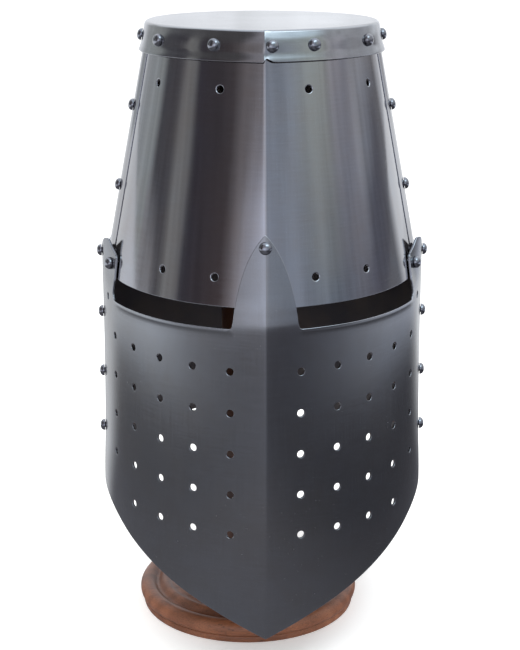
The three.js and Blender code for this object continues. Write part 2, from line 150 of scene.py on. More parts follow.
def even_thickness(turn):
    return PLATE + 0 * turn


def band_face(turn, z):
    """The band stands off one more layer over the back plate. It flares a little and has a small dent."""
    rise = LAYER * (1 + smoothstep(np.abs(signed(turn)), 44, 66))
    flare_depth, flare_height = 0.7, 6
    flare = flare_depth * smoothstep(-z, -BAND_LOW - flare_height, -BAND_LOW)
    dent_depth, dent_turn, dent_rise, dent_width, dent_height = 0.35, 0.9, 3.5, 1.2, 2.6
    aside, up = (signed(turn) - dent_turn) / dent_width, (z - BAND_LOW - dent_rise) / dent_height
    dent = dent_depth * np.exp(-aside ** 2 - up ** 2)
    return section_point(skull_section(z), turn, z, rise + flare - dent)


def face_face(turn, z):
    """The ears' front edges are drawn in to the skull, and the slots' lower edges are rolled out.

    Each pair of plain numbers is a pair of turns in degrees between which a share rises.
    """
    ear_gap, nasal_lift, edge_roll = 0.7, 0.6, 0.35
    aside = np.abs(signed(turn))
    free = 0.5 * (np.clip((aside - 67.5) / 7.5, 0, 1) + smoothstep(aside, 66.5, 76))
    rise = np.clip((z - SIGHT_LOW) / (BROW - SIGHT_LOW), 0, 1)
    share = (rise * smoothstep(aside, 25, 50) * (1 - free))[..., None]
    lift = nasal_lift * smoothstep(z, SIGHT_LOW + 2, BROW + 8) * (1 - smoothstep(aside, 20, 30))
    rolled = smoothstep(z, SIGHT_LOW - 5, SIGHT_LOW - 1) * (1 - smoothstep(z, SIGHT_LOW, SIGHT_LOW + 2))
    lift = lift + edge_roll * rolled * smoothstep(aside, 11, 13) * (1 - smoothstep(aside, 62, 65))
    over_skull = section_point(skull_section(z), turn, z, PLATE + ear_gap)
    return (1 - share) * section_point(body_section(z), turn, z, lift) + share * over_skull


def nape_face(turn, z):
    """Outside the back skull plate and inside the face plate, whichever is nearer to the axis."""
    over = section_point(skull_section(z), turn, z, 2 * LAYER)
    under = section_point(body_section(z), turn, z, -LAYER)
    far_over, far_under = np.hypot(over[..., 0], over[..., 1]), np.hypot(under[..., 0], under[..., 1])
    blend = smoothstep(far_over - far_under, -0.8, 0.8)[..., None]
    low = np.minimum(far_over, far_under)
    p = over * (1 - blend) + under * blend
    keep = (low / np.hypot(p[..., 0], p[..., 1]))[..., None]
    return p * np.concatenate([keep, keep, np.ones_like(keep)], -1)


def normals_on(face, turn, z, span=0.2):
    nudge = 0.05
    across = face(turn + nudge, z) - face(turn - nudge, z)
    up = face(turn, z + span) - face(turn, z - span)
    n = np.cross(across, up)
    return n / np.linalg.norm(n, axis=-1, keepdims=True)


# Camera of the photograph
def make_camera():
    """Metres and degrees. The focal length was found in pixels of a picture 650 pixels high."""
    distance, height, azimuth = 0.9908, 0.4907, math.radians(-1.037)
    yaw, pitch, roll = math.radians(-1.037 + 0.074), math.radians(16.04), math.radians(-0.006)
    focal_pixels, picture_height, sensor = 1473.1, 650, 36
    data = bpy.data.cameras.new("camera")
    data.lens = focal_pixels / picture_height * sensor
    data.sensor_width = sensor
    data.clip_start, data.clip_end = 0.05, 60
    camera = bpy.data.objects.new("camera", data)
    bpy.context.scene.collection.objects.link(camera)
    forward = Vector((-math.sin(yaw) * math.cos(pitch), math.cos(yaw) * math.cos(pitch), -math.sin(pitch)))
    right = Vector((math.cos(yaw), math.sin(yaw), 0))
    up = right.cross(forward)
    right, up = right * math.cos(roll) + up * math.sin(roll), up * math.cos(roll) - right * math.sin(roll)
    turned = Matrix((right, up, -forward)).transposed().to_4x4()
    ahead = -distance * math.cos(azimuth) + FRONT_SHIFT / 1000
    place = Vector((distance * math.sin(azimuth), ahead, height))
    camera.matrix_world = Matrix.Translation(place) @ turned
    bpy.context.scene.camera = camera


make_camera()


# Node helpers
class Nodes:
    def __init__(self, tree):
        self.tree = tree
        tree.nodes.clear()

    def feed(self, node, key, value):
        if isinstance(value, bpy.types.NodeSocket):
            self.tree.links.new(value, node.inputs[key])
        else:
            node.inputs[key].default_value = value

    def add(self, kind, inputs=None, **settings):
        node = self.tree.nodes.new(kind)
        for key, value in settings.items():
            setattr(node, key, value)
        for key, value in (inputs or {}).items():
            self.feed(node, key, value)
        return node

    def math(self, operation, a, b=0.0):
        return self.add("ShaderNodeMath", {0: a, 1: b}, operation=operation).outputs[0]

    def times(self, a, b):
        return self.math("MULTIPLY", a, b)

    def plus(self, a, b):
        return self.math("ADD", a, b)

    def mix(self, share, a, b, blend="MIX"):
        node = self.add("ShaderNodeMix", {0: share}, data_type="RGBA", blend_type=blend)
        for key, value in ((6, a), (7, b)):
            self.feed(node, key, (*value, 1) if isinstance(value, tuple) else value)
        return node.outputs[2]

    def ramp(self, share, stops, smooth=True):
        node = self.add("ShaderNodeValToRGB", {"Fac": share})
        node.color_ramp.interpolation = "EASE" if smooth else "LINEAR"
        marks = node.color_ramp.elements
        while len(marks) < len(stops):
            marks.new(1)
        for mark, (at, colour) in zip(marks, stops):
            mark.position = at
            mark.color = (*colour, 1)
        return node.outputs["Color"]

    def spread(self, value, low, high, out_low=0.0, out_high=1.0):
        node = self.add("ShaderNodeMapRange", {0: value, 1: low, 2: high, 3: out_low, 4: out_high})
        return node.outputs[0]

    def stretched(self, vector, scale):
        return self.add("ShaderNodeMapping", {"Vector": vector, "Scale": scale}).outputs[0]

    def noise(self, vector, scale, detail=3.0, rough=0.5, distortion=0.0):
        node = self.add("ShaderNodeTexNoise", {
            "Vector": vector, "Scale": scale, "Detail": detail, "Roughness": rough,
            "Distortion": distortion})
        return node.outputs[0]

    def bump(self, strength, distance, height):
        node = self.add("ShaderNodeBump", {"Strength": strength, "Distance": distance, "Height": height})
        return node.outputs[0]

    def grey(self, value):
        return self.add("ShaderNodeCombineColor", {0: value, 1: value, 2: value}).outputs[0]

    def surface(self, shader):
        self.add("ShaderNodeOutputMaterial", {"Surface": shader.outputs[0]})


def new_material(name):
    material = bpy.data.materials.new(name)
    material.use_nodes = True
    return material, Nodes(material.node_tree)


def steel(name, cool, warm, edge, rough, brush, haze, wavy):
    """Blackened steel: uneven tone, rubbing marks, pits and bright rubbed edges."""
    material, n = new_material(name)
    place = n.add("ShaderNodeTexCoord").outputs["Object"]
    sheet = n.add("ShaderNodeUVMap", uv_map="sheet").outputs[0]
    wear = n.add("ShaderNodeAttribute", attribute_name="wear").outputs["Fac"]
    cloud = n.noise(place, 14, 4, 0.55, 0.4)
    mottle = n.noise(place, 95, 3, 0.6)
    tone = n.spread(n.plus(n.times(cloud, 0.7), n.times(mottle, 0.3)), 0.36, 0.64)
    colour = n.mix(tone, cool, warm)
    lines = n.noise(n.stretched(sheet, (2600, 26, 1)), 1, 2, 0.6)
    marks = n.noise(n.stretched(sheet, (55, 900, 1)), 1, 2, 0.5, 0.3)
    rub = n.plus(n.times(lines, 0.6), n.times(marks, 0.4))
    pits = n.noise(place, 1150, 1, 0.5)
    speck = n.spread(pits, 0.73, 0.80)
    colour = n.mix(n.spread(rub, 0.35, 0.65, 0.0, 0.22), colour, tuple(1.35 * c for c in cool))
    colour = n.mix(n.times(speck, 0.1), colour, (0.62, 0.63, 0.66))
    colour = n.mix(n.times(wear, 0.75), colour, edge)
    rubbed = n.spread(rub, 0.3, 0.7, rough - 0.025, rough + 0.035)
    gloss = n.plus(rubbed, n.spread(cloud, 0.35, 0.65, -haze / 2, haze / 2))
    gloss = n.plus(gloss, n.times(speck, 0.06))
    wave = n.noise(place, 13, 0.4, 0.3)
    relief = n.plus(n.times(lines, brush), n.times(wave, wavy))
    relief = n.plus(relief, n.times(pits, brush))
    n.surface(n.add("ShaderNodeBsdfPrincipled", {
        "Base Color": colour, "Metallic": 1.0, "Roughness": gloss, "Normal": n.bump(0.35, 0.0006, relief)}))
    return material


def rough_inside():
    """Unpolished scale on the inner faces."""
    material, n = new_material("steel_inside")
    place = n.add("ShaderNodeTexCoord").outputs["Object"]
    cloud = n.noise(place, 30, 5, 0.6)
    grit = n.noise(place, 700, 3, 0.6)
    colour = n.mix(n.spread(cloud, 0.35, 0.65), (0.062, 0.058, 0.072), (0.10, 0.084, 0.082))
    colour = n.mix(n.spread(grit, 0.5, 0.75, 0.0, 0.5), colour, (0.085, 0.080, 0.082))
    n.surface(n.add("ShaderNodeBsdfPrincipled", {
        "Base Color": colour, "Metallic": 0.3, "Roughness": n.spread(cloud, 0.3, 0.7, 0.5, 0.68),
        "Normal": n.bump(0.3, 0.0004, grit)}))
    return material


def turned_wood(name, tone):
    """Reddish brown hardwood with long grain along X, pores and a satin varnish."""
    material, n = new_material(name)
    place = n.add("ShaderNodeTexCoord").outputs["Object"]
    slow = n.noise(n.stretched(place, (3.5, 16, 16)), 1, 3, 0.55, 0.5)
    rings = n.add("ShaderNodeTexWave", {
        "Vector": n.stretched(place, (0.9, 14, 9)), "Scale": 1.6, "Distortion": 9.0, "Detail": 3.0,
        "Detail Scale": 1.2}, wave_type="BANDS", bands_direction="Y").outputs["Fac"]
    fibre = n.noise(n.stretched(place, (45, 1500, 1500)), 1, 3, 0.6)
    pores = n.noise(n.stretched(place, (120, 1700, 1700)), 1, 1, 0.5)
    figure = n.plus(n.times(slow, 0.86), n.times(rings, 0.14))
    shades = [(0.25, (0.118, 0.039, 0.018)), (0.45, (0.185, 0.066, 0.030)),
              (0.58, (0.245, 0.090, 0.042)), (0.8, (0.33, 0.132, 0.063))]
    # The tone scales the whole colour; the post's darker copy uses it for unfinished wood and painted shade
    colour = n.ramp(figure, [(at, tuple(1.17 * tone * c for c in shade)) for at, shade in shades])
    colour = n.mix(n.spread(fibre, 0.42, 0.7, 0.0, 0.45), colour, (0.06, 0.022, 0.014))
    dark = n.spread(pores, 0.64, 0.72)
    colour = n.mix(n.times(dark, 0.7), colour, (0.022, 0.009, 0.006))
    relief = n.math("SUBTRACT", n.times(fibre, 0.3), dark)
    n.surface(n.add("ShaderNodeBsdfPrincipled", {
        "Base Color": colour, "Roughness": n.spread(fibre, 0.3, 0.7, 0.36, 0.48),
        "Normal": n.bump(0.25, 0.0003, relief), "Coat Weight": 0.22, "Coat Roughness": 0.28}))
    return material


FACE_STEEL = steel("steel_face", cool=(0.325, 0.338, 0.358), warm=(0.31, 0.308, 0.308),
                   edge=(0.62, 0.64, 0.68), rough=0.20, brush=0.0025, haze=0.05, wavy=4.0)
SKULL_STEEL = steel("steel_skull", cool=(0.40, 0.415, 0.45), warm=(0.40, 0.385, 0.39),
                    edge=(0.66, 0.68, 0.72), rough=0.10, brush=0.0025, haze=0.035, wavy=5.2)
TOP_STEEL = steel("steel_top", cool=(0.41, 0.425, 0.445), warm=(0.40, 0.40, 0.41),
                  edge=(0.66, 0.68, 0.72), rough=0.12, brush=0.003, haze=0.04, wavy=4.0)
RIVET_STEEL = steel("rivet_steel", cool=(0.33, 0.35, 0.39), warm=(0.29, 0.285, 0.30),
                    edge=(0.5, 0.52, 0.56), rough=0.13, brush=0.006, haze=0.04, wavy=2.0)
INSIDE = rough_inside()
# The post and head take a copy of the wood at 0.28 of its brightness: partly unfinished wood, partly painted
# shade for where they stand inside the helm
WOOD, POST_WOOD_UNFINISHED_AND_SHADED = turned_wood("wood", 1.0), turned_wood("wood_post_unfinished_and_painted_shade", 0.28)


# Mesh helpers
def add_piece(name, node, points, faces, normals, materials, slots, sheet=None, wear=None):
    """A piece in metres that stands for a CAD node. Points come in millimetres in the shared frame."""
    mesh = bpy.data.meshes.new(name)
    corners = [tuple(p) for p in (points / 1000).tolist()]
    mesh.from_pydata(corners, [], [tuple(int(i) for i in f) for f in faces])
    for material in materials:
        mesh.materials.append(material)
    mesh.polygons.foreach_set("material_index", np.asarray(slots, np.int32))
    mesh.polygons.foreach_set("use_smooth", np.ones(len(faces), bool))
    if sheet is not None:
        corner = np.empty(len(mesh.loops), np.int32)
        mesh.loops.foreach_get("vertex_index", corner)
        layer = mesh.uv_layers.new(name="sheet")
        layer.data.foreach_set("uv", np.asarray(sheet, np.float32)[corner].ravel())
    attribute = mesh.attributes.new("wear", "FLOAT", "POINT")
    worn = np.zeros(len(points)) if wear is None else wear
    attribute.data.foreach_set("value", np.asarray(worn, np.float32))
    mesh.validate()
    if normals is not None:
        mesh.normals_split_custom_set_from_vertices([tuple(v) for v in normals.tolist()])
    mesh.update()
    piece = bpy.data.objects.new(name, mesh)
    bpy.context.scene.collection.objects.link(piece)
    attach(piece, "root")
    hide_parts(node)


def inside_loop(points, loop):
    x, y = points[:, :1], points[:, 1:]
    x0, y0 = loop[:, 0][None], loop[:, 1][None]
    x1, y1 = np.roll(loop[:, 0], -1)[None], np.roll(loop[:, 1], -1)[None]
    crosses = (y0 > y) != (y1 > y)
    with np.errstate(divide="ignore", invalid="ignore"):
        at = x0 + (y - y0) * (x1 - x0) / (y1 - y0)
    return (np.sum(crosses & (x < at), axis=1) % 2) == 1


def hole_loop(face, turn, z, radius):
    """Round hole in a face as a clockwise loop of (turn, z)."""
    count = 22

    def at(t, h):
        return face(np.array(t), np.array(h))

    step = np.linalg.norm(at(turn + 0.5, z) - at(turn - 0.5, z))
    rise = np.linalg.norm(at(turn, z + 0.5) - at(turn, z - 0.5))
    a = -np.arange(count) / count * 2 * np.pi
    return np.stack([turn + radius * np.cos(a) / step, z + radius * np.sin(a) / rise], 1)


def grid_columns(low, high):
    first = math.ceil(low / TURN_STEP) * TURN_STEP
    beside_crease = 3.2
    plain = [t for t in np.arange(first, high, TURN_STEP) if abs(signed(t)) > beside_crease]
    return np.array(sorted(plain + [c for c in CREASE_TURNS if low < c < high]))


def cut_sheet(loops):
    """A sheet inside the first loop and outside the others: its turns, heights, triangles and rims."""
    outline, openings, clear_of_rims = loops[0], loops[1:], 1.5
    lows, highs = outline.min(0), outline.max(0)
    rows = np.arange(lows[1] + RISE_STEP / 2, highs[1], RISE_STEP)
    grid = np.array([(t, z) for t in grid_columns(lows[0], highs[0]) for z in rows])
    keep = inside_loop(grid, outline)
    for loop in openings:
        keep &= ~inside_loop(grid, loop)
    for loop in loops:
        gap = np.full(len(grid), np.inf)
        for p in loop:
            gap = np.minimum(gap, np.hypot(*((grid - p) * FLAT_SCALE).T))
        keep &= gap > clear_of_rims
    flat, wires, starts = [], [], []
    for loop in loops:
        start = len(flat)
        starts.append(start)
        flat += [tuple(p) for p in loop * FLAT_SCALE]
        wires += [(start + k, start + (k + 1) % len(loop)) for k in range(len(loop))]
    flat += [tuple(p) for p in grid[keep] * FLAT_SCALE]
    spots, _, made, sources = delaunay_2d_cdt([Vector(p) for p in flat], wires, [], 0, 1e-5)[:4]
    spots = np.array([tuple(v) for v in spots])
    index_of = {source: k for k, merged in enumerate(sources) for source in merged}
    rims = [np.array([index_of[start + k] for k in range(len(loop))]) for loop, start in zip(loops, starts)]
    triangles = np.array([f for f in made if len(f) == 3])
    middles = spots[triangles].mean(1)
    keep = inside_loop(middles, outline * FLAT_SCALE)
    for loop in openings:
        keep &= ~inside_loop(middles, loop * FLAT_SCALE)
    triangles = triangles[keep]
    a, b, c = (spots[triangles[:, k]] for k in range(3))
    turned = (b[:, 0] - a[:, 0]) * (c[:, 1] - a[:, 1]) - (b[:, 1] - a[:, 1]) * (c[:, 0] - a[:, 0])
    triangles[turned < 0] = triangles[turned < 0][:, ::-1]
    return spots[:, 0] / ACROSS, spots[:, 1], triangles, rims


def rim_rings(spot, out, away, thick, bevel, worn):
    """Rings of points, normals and wear round a cut edge, from the outer face to the inner one."""
    inner_bevel = np.minimum(0.3, thick - bevel - 0.03)
    made = []
    for k in range(1, 5):
        a = k / 4 * np.pi / 2
        ring = spot - bevel * away + bevel * (np.sin(a) * away - (1 - np.cos(a)) * out)
        made.append((ring, np.cos(a) * out + np.sin(a) * away, worn))
    inner = spot - thick * out - inner_bevel * away
    for k in range(3):
        a = k / 3 * np.pi / 2
        ring = inner + inner_bevel * (np.cos(a) * away + (1 - np.sin(a)) * out)
        made.append((ring, np.cos(a) * away - np.sin(a) * out, 0.3))
    return inner, made


def plate(name, node, face, outline, holes, materials, thickness=even_thickness):
    """Sheet over a face, cut to an outline, with holes as (loop, bevel) and rounded edges."""
    loops = [np.asarray(outline, float)] + [loop for loop, _ in holes]
    bevels = [0.35] + [bevel for _, bevel in holes]
    edge_wear = [1.0] + [0.35] * len(holes)
    turn, z, triangles, rims = cut_sheet(loops)
    outer, normal = face(turn, z), normals_on(face, turn, z, 1.0)
    deep = thickness(turn)[:, None]
    count = len(turn)
    points, normals = [outer, outer - deep * normal], [normal, -normal]
    sheet = [np.stack([np.radians(turn) * SHEET_RADIUS, z / 1000], 1)] * 2
    wear = [np.zeros(count), np.zeros(count)]
    faces = [tuple(t) for t in triangles] + [tuple(t[::-1] + count) for t in triangles]
    slots = [0] * len(triangles) + [1] * len(triangles)
    total = 2 * count
    for ids, bevel, worn in zip(rims, bevels, edge_wear):
        spot, out, thick = outer[ids], normal[ids], deep[ids]
        away = np.cross(np.roll(spot, -1, 0) - np.roll(spot, 1, 0), out)
        away /= np.linalg.norm(away, axis=1, keepdims=True)
        bevel = np.minimum(bevel, thick * 0.55)
        inner, made = rim_rings(spot, out, away, thick, bevel, worn)
        points[0][ids], points[1][ids] = spot - bevel * away, inner
        wear[0][ids] = 0.06 * worn
        rings = [ids]
        for ring, facing, rubbed in made:
            points.append(ring)
            normals.append(facing)
            sheet.append(sheet[0][ids])
            wear.append(np.full(len(ids), rubbed))
            rings.append(np.arange(total, total + len(ids)))
            total += len(ids)
        rings.append(ids + count)
        for lower, upper in zip(rings, rings[1:]):
            for k in range(len(ids)):
                j = (k + 1) % len(ids)
                faces.append((lower[k], upper[k], upper[j], lower[j]))
                slots.append(0)
    points, normals, sheet, wear = (np.concatenate(part) for part in (points, normals, sheet, wear))
    points[:, 1] += FRONT_SHIFT
    add_piece(name, node, points, faces, normals, materials, slots, sheet, wear)


def eased(points, corner, radius):
    """The polyline with one corner rounded."""
    p, a, b = (np.array(points[(corner + k) % len(points)]) * FLAT_SCALE for k in (0, -1, 1))
    start = p + (a - p) / np.linalg.norm(a - p) * radius
    end = p + (b - p) / np.linalg.norm(b - p) * radius
    bends = [(1 - t) ** 2 * start + 2 * t * (1 - t) * p + t * t * end for t in np.linspace(0, 1, 6)]
    return points[:corner] + [tuple(bend / FLAT_SCALE) for bend in bends] + points[corner + 1:]


def hem_height(turn):
    """The pointed lower edge rises evenly from its tip and turns level between the two hem turns."""
    start, level = HEM_TURNS
    slope = (HEM - TIP) / ((start + level) / 2)
    past = np.clip(np.abs(turn) - start, 0, level - start)
    return TIP + slope * (np.minimum(np.abs(turn), start) + past - past * past / (2 * (level - start)))


def turn_at(x):
    return math.degrees(math.asin(x / BODY_SECTION[0]))


def face_outline():
    """The right half runs from the hem's point round to the nasal's tip, and the left one mirrors it."""
    right = [(t, float(hem_height(t))) for t in np.arange(0, 90, 1.5)]
    right += [(90.0, z) for z in np.linspace(HEM, SIGHT_LOW + EAR_BACK, 30)]
    corner = SIGHT_END_TURN + EAR_LEAN
    ear_turns, ear_rises = [corner, 70.5, 73.1, 74.6, 82, 90], [EAR_CORNER, 31.7, 36.9, 36.5, 29.8, EAR_BACK]
    ear_edge = smooth_curve(ear_turns, ear_rises)
    for t in [*np.linspace(90, 76, 14)[1:], *np.linspace(75.4, corner, 17)]:
        right.append((t, SIGHT_LOW + float(ear_edge(t))))
    ear = len(right) - 1
    for h in np.linspace(EAR_CORNER, SIGHT_CORNER, 8)[1:]:
        right.append((SIGHT_END_TURN + EAR_LEAN * h / EAR_CORNER, SIGHT_LOW + h))
    corner_reach = 126.5
    corner_turn = turn_at(SIGHT_CORNER) * (BODY_SECTION[0] / corner_reach)
    for k in range(1, 7):
        a = k / 6 * math.pi / 2
        turn = SIGHT_END_TURN - corner_turn * (1 - math.cos(a))
        right.append((turn, SIGHT_LOW + SIGHT_CORNER * (1 - math.sin(a))))
    foot = 2.2
    inner = turn_at(NASAL_HALF + foot)
    right += [(t, SIGHT_LOW) for t in np.linspace(SIGHT_END_TURN - corner_turn, inner, 36)[1:]]
    for k in range(1, 5):
        a = k / 4 * math.pi / 2
        right.append((turn_at(NASAL_HALF + foot * (1 - math.sin(a))), SIGHT_LOW + foot * (1 - math.cos(a))))
    for t in np.linspace(0, 1, 22)[1:]:
        x = (1 - t) ** 2 * NASAL_HALF + 2 * t * (1 - t) * NASAL_HALF * NASAL_BULGE_ACROSS
        rise = 2 * t * (1 - t) * NASAL_HEIGHT * NASAL_BULGE_UP + t * t * NASAL_HEIGHT
        if rise > foot + 0.4:
            right.append((turn_at(x), SIGHT_LOW + rise))
    right = eased(right, ear, 1.6)
    left = [(-t, z) for t, z in right[::-1][1:-1]]
    return right + left


def breath_holes():
    """Five rows on each side, the lowest one a column shorter, and a hole at each slot's outer end."""
    holes, bevel = [], 0.4
    first_turn, step_turn, drop_share, pitch_share, row_rise = 11.6, 12.9, 0.193, 0.191, 3.4
    slot_end_turn, slot_end_drop = 70, 0.3
    for sign in (-1, 1):
        for row in range(5):
            share = drop_share + row * pitch_share
            for column in range(4 if row == 4 else 5):
                turn = sign * (first_turn + column * step_turn)
                z = SIGHT_LOW + (HEM - SIGHT_LOW) * share + row_rise * column / 4
                holes.append((hole_loop(face_face, turn, z, BREATH_RADIUS), bevel))
        end = hole_loop(face_face, sign * slot_end_turn, SIGHT_LOW - slot_end_drop, BREATH_RADIUS)
        holes.append((end, bevel))
    return holes


def lace_hole(face, turn, z):
    return hole_loop(face, turn, z, LACE_RADIUS), 0.75


def straight_outline(low, high, low_z, high_z):
    """Outline between two turns, with the lower and upper edges as functions of the turn."""
    turns = np.linspace(low, high, int((high - low) / 1.5) + 1)
    rises = np.linspace(0, 1, 30)[1:-1]
    foot = [(t, float(low_z(t))) for t in turns]
    head = [(t, float(high_z(t))) for t in turns[::-1]]
    up = [(high, foot[-1][1] + (head[0][1] - foot[-1][1]) * s) for s in rises]
    down = [(low, head[-1][1] + (foot[0][1] - head[-1][1]) * s) for s in rises]
    return foot + up + head + down


# Bent plates
plate("face_plate_formed", "face_plate", face_face, face_outline(), breath_holes(),
      [FACE_STEEL, INSIDE])

high_holes = [lace_hole(skull_front_face, s * t, CROWN - LACE_DROP) for s in (-1, 1) for t in (19.8, 56, 90)]
low_holes = [lace_hole(skull_front_face, s * t, BROW + LACE_LOW) for s in (-1, 1) for t in (17.8, 39)]
plate("skull_front_formed", "skull_front", skull_front_face,
      straight_outline(-97.5, 97.5, lambda t: BROW, lambda t: SKULL_TOP), high_holes + low_holes,
      [SKULL_STEEL, INSIDE])

back_holes = [lace_hole(skull_back_face, t, CROWN - LACE_DROP) for t in (90, 124, 160.2, 199.8, 236, 270)]
plate("skull_back_formed", "skull_back", skull_back_face,
      straight_outline(75, 285, lambda t: BROW + 6.5, lambda t: SKULL_TOP), back_holes,
      [SKULL_STEEL, INSIDE], thickness=skull_back_thickness)


def nape_hem(turn):
    back_hem = 108
    return back_hem + (HEM - back_hem) * smoothstep(180 - abs(float(signed(turn))), 0, 90)


def nape_top(turn):
    side_rise, more_behind = 8.5, 11.5
    return BROW + side_rise + more_behind * smoothstep(abs(float(signed(turn))), 86, 106)


plate("nape_plate_formed", "nape_plate", nape_face, straight_outline(75, 285, nape_hem, nape_top), [],
      [FACE_STEEL, INSIDE])


def top_plate():
    """Flat crown with its edge bent down as a band, which has a small notch at the crease."""
    bend, lip, notch = 2.6, 0.35, 2.3
    turns = np.array(CREASE_TURNS + list(np.arange(4, 357, 2.0)))
    width = len(turns)
    rings, facing, worn = [], [], []

    def ring(points, normals, wear=0.0):
        rings.append(points)
        facing.append(normals / np.linalg.norm(normals, axis=1, keepdims=True))
        worn.append(np.full(width, wear))

    up = np.array([0.0, 0, 1])
    low = BAND_LOW + np.interp(signed(turns), [-0.7, 0.9, 4.4], [0, notch, 0])
    out_low = normals_on(band_face, turns, low)
    edge = band_face(turns, low)
    for k in range(5):
        a = k / 4 * np.pi / 2
        ring(edge + lip * up - lip * (1 - np.sin(a)) * out_low - lip * np.cos(a) * up,
             np.sin(a) * out_low - np.cos(a) * up, 0.3)
    slope = np.arcsin(out_low[:, 2])
    high = CROWN - bend * (1 - np.sin(slope))
    for share in (0.08, 0.16, 0.26, 0.38, 0.5, 0.62, 0.74, 0.87, 1.0):
        z = low + (high - low) * share
        rolled = math.radians(13) * smoothstep(share, 0.5, 1)
        out = normals_on(band_face, turns, z)
        ring(band_face(turns, z), out * math.cos(rolled) + up * math.sin(rolled))
    band_count = len(rings)
    centre = rings[-1] - bend * out
    level = out * np.array([1, 1, 0])
    level /= np.linalg.norm(level, axis=1, keepdims=True)
    for share in (0.12, 0.25, 0.4, 0.55, 0.7, 0.85, 1.0):
        a = (slope + (np.pi / 2 - slope) * share)[:, None]
        n = np.cos(a) * level + np.sin(a) * up
        ring(centre + bend * n, n, 0.28 * math.sin(share * math.pi))
    rim = rings[-1]
    for share in (0.985, 0.95, 0.88, 0.76, 0.6, 0.42, 0.22, 0.08):
        ring(rim * np.array([share, share, 1]), np.tile(up, (width, 1)))
    outer_count = len(rings)
    for share in (0.08, 0.42, 0.76, 0.955):
        ring(rim * np.array([share, share, 1]) - PLATE * up, np.tile(-up, (width, 1)))
    for share in (0.97, 0.5, 0.02):
        z = low + (CROWN - PLATE - 0.9 - low) * share + 0.1
        inward = -normals_on(band_face, turns, z)
        ring(band_face(turns, z) + PLATE * inward, inward)
    total = len(rings)
    cap, under = total * width, total * width + 1
    faces, slots = [], []
    for i in range(total):
        if i == outer_count - 1:
            continue
        j = (i + 1) % total
        for k in range(width):
            m = (k + 1) % width
            faces.append((i * width + k, i * width + m, j * width + m, j * width + k))
            slots.append(1 if i >= outer_count or i < 2 else 0)
    for k in range(width):
        m = (k + 1) % width
        faces.append(((outer_count - 1) * width + k, (outer_count - 1) * width + m, cap))
        faces.append((outer_count * width + m, outer_count * width + k, under))
        slots += [0, 1]
    points = np.concatenate([*rings, [[0, 0, CROWN], [0, 0, CROWN - PLATE]]])
    normals = np.concatenate([*facing, [up, -up]])
    wear = np.concatenate([*worn, [0, 0]])
    sheet = points[:, :2] / 1000
    on_band = np.arange(len(points)) < band_count * width
    band_radius, angle = 0.09, np.arctan2(points[:, 0], -points[:, 1])
    sheet[on_band] = np.stack([angle * band_radius, points[:, 2] / 1000], 1)[on_band]
    points[:, 1] += FRONT_SHIFT
    points[:, 2] = np.minimum(points[:, 2], CROWN)
    add_piece("top_plate_formed", "top_plate", points, faces, normals, [TOP_STEEL, INSIDE], slots,
              sheet, wear)


top_plate()


def lathe(profile, count):
    """Points and faces of a turned solid. Its profile of (radius, height) runs from the lower middle up."""
    profile = np.array(profile, float)
    a = np.arange(count) / count * 2 * np.pi
    rings = [np.stack([r * np.cos(a), r * np.sin(a), np.full(count, h)], 1) for r, h in profile]
    points = np.concatenate(rings)
    faces = []
    for i in range(len(profile) - 1):
        for k in range(count):
            m = (k + 1) % count
            if profile[i][0] == 0:
                faces.append((k, (i + 1) * count + m, (i + 1) * count + k)[::-1])
            elif profile[i + 1][0] == 0:
                faces.append((i * count + k, i * count + m, (i + 1) * count + k))
            else:
                faces.append((i * count + k, i * count + m, (i + 1) * count + m, (i + 1) * count + k))
    used = sorted({v for f in faces for v in f})
    index = {v: i for i, v in enumerate(used)}
    return points[used], [tuple(index[v] for v in f) for f in faces]


# Rivets
def grip_of(node, origin, normal):
    """How far a rivet's tail reaches inwards, from its CAD node."""
    corners = np.array([v.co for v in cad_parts[node].data.vertices]) * 1000
    corners[:, 1] -= FRONT_SHIFT
    return float(-((corners - origin) @ normal).min())


def rivet(node, face, turn, z):
    """Domed head outside, shank through the plates and clenched end inside."""
    head_radius, shank_radius, foot, dome_rise, clench = 4.0, 2.0, LAP + 0.35, 2.85, 1.5
    turn, z = np.array(float(turn)), np.array(float(z))
    origin, normal = face(turn, z), normals_on(face, turn, z)
    tail = grip_of(node, origin, normal) - clench
    profile = [(0, -tail - 1.45), (1.3, -tail - 1.3), (2.3, -tail - 0.9), (2.9, -tail - 0.35), (3.0, -tail)]
    profile += [(shank_radius, -tail), (shank_radius, LAP), (head_radius, LAP), (head_radius, foot)]
    for a in np.radians([12, 24, 36, 48, 60, 70, 79, 85]):
        profile.append((head_radius * math.cos(a) ** 0.85, foot + dome_rise * math.sin(a)))
    profile.append((0, foot + dome_rise))
    points, faces = lathe(profile, 28)
    turned = np.array(Vector((0, 0, 1)).rotation_difference(Vector(normal)).to_matrix())
    sheet = points[:, :2] / 1000
    wear = np.clip((points[:, 2] - 2.4) / 3, 0, 0.25)
    points = points @ turned.T + origin
    points[:, 1] += FRONT_SHIFT
    add_piece(node + "_domed", node, points, faces, None, [RIVET_STEEL], [0] * len(faces),
              sheet, wear)


BAND_TURNS = [3.5, 23.5, 57.5, 88, 122.5, 156.5, 180, -156.5, -122.5, -88, -57.5, -23.5]
NASAL_RIVET_DROP = 8
SEAM_TURN, SEAM_UPPER, SEAM_LOWER = 83, 0.332, 0.655
EAR_RIVET_TURN, EAR_RIVET_RISE = 70.8, 8.6
SIDE_TURN, SIDE_TOP_RISE, SIDE_SHARES = 82.5, 12, (0.127, 0.43, 0.715)
NAPE_TURNS, NAPE_RIVET_RISE = (110, 145, 180, 215, 250), 13

